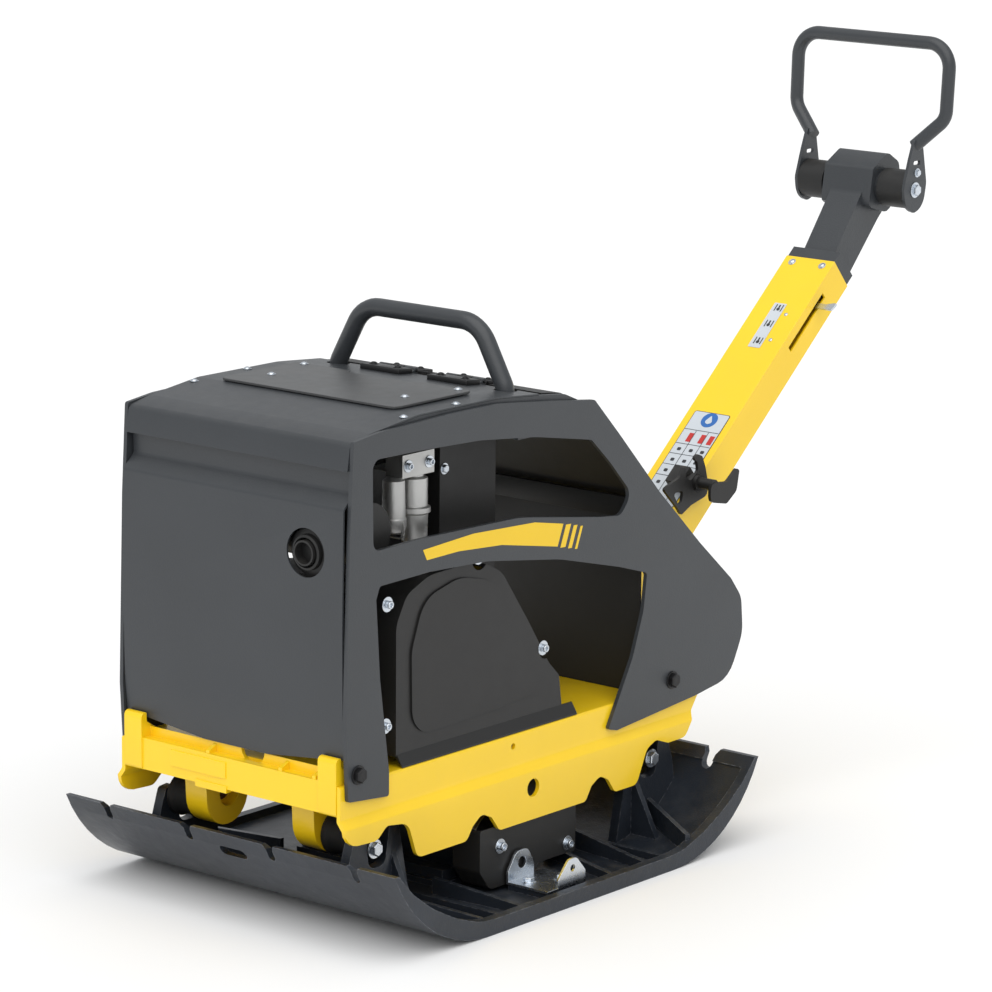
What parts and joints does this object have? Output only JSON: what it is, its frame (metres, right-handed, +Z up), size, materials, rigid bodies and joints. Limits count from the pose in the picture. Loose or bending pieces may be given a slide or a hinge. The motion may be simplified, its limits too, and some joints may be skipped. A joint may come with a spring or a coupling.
{
  "type": "plate compactor",
  "caption": "Reversible vibratory plate compactor: cast plate, yellow spring-mounted deck, side plates with window and arch, roof, lifting bail, folding drawbar and control loop.",
  "frame": {"origin": "centre of the base plate's flat underside, on the ground", "axes": "+Z up; -Y is the machine's front, so the drawbar points to +Y; +X is its left side"},
  "size_m": [0.6, 1.4808, 1.0852],
  "materials": {
    "yellow_paint": "gloss",
    "structured_grey_paint": "textured",
    "access_plate_grey": "satin",
    "black_cast_iron": "satin",
    "black_steel": "satin",
    "black_plastic": "matte",
    "rubber": "matte",
    "zinc_plate": "zinc plated",
    "ground_steel": "ground",
    "cast_aluminium": "as cast"
  },
  "bodies": {
    "lower_mass": {"base_plate": "black_cast_iron", "exciter_housing": "black_cast_iron", "exciter_end_cover_left": "black_cast_iron", "exciter_end_cover_right": "black_cast_iron", "lower_belt_cover": "black_steel", "plate_bracket": "zinc_plate"},
    "front_shaft": {"eccentric_shaft_front": "ground_steel", "exciter_gear_front": "ground_steel", "exciter_pulley": "ground_steel"},
    "rear_shaft": {"eccentric_shaft_rear": "ground_steel", "exciter_gear_rear": "ground_steel"},
    "upper_mass": {"console_frame": "yellow_paint", "front_crossmember": "yellow_paint", "side_plate_left": "structured_grey_paint", "side_plate_right": "structured_grey_paint", "roof_cover": "structured_grey_paint", "access_plate": "access_plate_grey", "front_panel": "structured_grey_paint", "rear_wall": "black_steel", "flap_hinge_pin": "zinc_plate", "lifting_bail": "structured_grey_paint", "crankcase": "cast_aluminium", "cylinder_head": "cast_aluminium", "fan_shroud": "black_steel", "recoil_housing": "black_plastic", "air_duct": "black_steel", "muffler": "black_steel", "air_filter": "black_plastic", "fuel_filter": "cast_aluminium", "fuel_tank": "black_plastic", "belt_guard": "black_plastic", "mast_pivot_pin": "zinc_plate", "buffer_front_left": "rubber", "buffer_front_right": "rubber", "buffer_rear_left": "rubber", "buffer_rear_right": "rubber", "drive_belt": "rubber"},
    "crank": {"crankshaft": "ground_steel", "clutch_pulley": "ground_steel", "flywheel_fan": "cast_aluminium"},
    "tank_cap": {"fuel_cap": "black_plastic"},
    "starter": {"starter_grip": "black_plastic"},
    "flap": {"service_flap": "black_plastic"},
    "mast": {"mast_tube": "yellow_paint", "mast_neck": "structured_grey_paint", "latch_bracket": "black_steel"},
    "latch": {"mast_latch": "black_steel"},
    "throttle": {"throttle_lever": "zinc_plate"},
    "loop": {"control_loop": "structured_grey_paint", "hub_drum_left": "black_plastic", "hub_drum_right": "black_plastic", "loop_shaft": "zinc_plate"}
  },
  "joints": [
    {"name": "buffer_travel", "type": "slide", "parent": "lower_mass", "child": "upper_mass", "axis": [0, 0, 1], "range_m": [-0.004, 0.004], "stiffness_N_per_m": 500000, "springref_m": 0.00252, "deforming": ["drive_belt"]},
    {"name": "crank_spin", "type": "hinge", "parent": "upper_mass", "child": "crank", "pos_m": [0, -0.12, 0.35], "axis": [1, 0, 0], "continuous": true},
    {"name": "front_shaft_spin", "type": "hinge", "parent": "lower_mass", "child": "front_shaft", "pos_m": [0, -0.042, 0.07], "axis": [1, 0, 0], "continuous": true},
    {"name": "rear_shaft_spin", "type": "hinge", "parent": "lower_mass", "child": "rear_shaft", "pos_m": [0, 0.042, 0.07], "axis": [1, 0, 0], "continuous": true},
    {"name": "tank_cap_turn", "type": "hinge", "parent": "upper_mass", "child": "tank_cap", "pos_m": [-0.124, 0.062, 0.65], "axis": [0, 0, 1], "range_deg": [0, 90]},
    {"name": "starter_pull", "type": "slide", "parent": "upper_mass", "child": "starter", "axis": [-1, 0, 0], "range_m": [0, 0.45], "stiffness_N_per_m": 40, "springref_m": -0.05},
    {"name": "flap_hinge", "type": "hinge", "parent": "upper_mass", "child": "flap", "pos_m": [0, 0.024, 0.694], "axis": [1, 0, 0], "range_deg": [0, 75]},
    {"name": "mast_hinge", "type": "hinge", "parent": "upper_mass", "child": "mast", "pos_m": [0, 0.385, 0.2625], "axis": [1, 0, 0], "range_deg": [-28, 49.6]},
    {"name": "latch_hinge", "type": "hinge", "parent": "mast", "child": "latch", "pos_m": [0, 0.561, 0.464], "axis": [1, 0, 0], "range_deg": [-15, 20]},
    {"name": "throttle_hinge", "type": "hinge", "parent": "mast", "child": "throttle", "pos_m": [-0.002, 0.87165, 0.68587], "axis": [0, -0.6481, 0.7615], "range_deg": [-45, 0]},
    {"name": "loop_hinge", "type": "hinge", "parent": "mast", "child": "loop", "pos_m": [0, 1.04, 0.852], "axis": [1, 0, 0], "range_deg": [-35, 35]}
  ],
  "couplings": [
    {"joint": "front_shaft_spin", "follows": "crank_spin", "ratio": 1},
    {"joint": "rear_shaft_spin", "follows": "crank_spin", "ratio": -1}
  ]
}
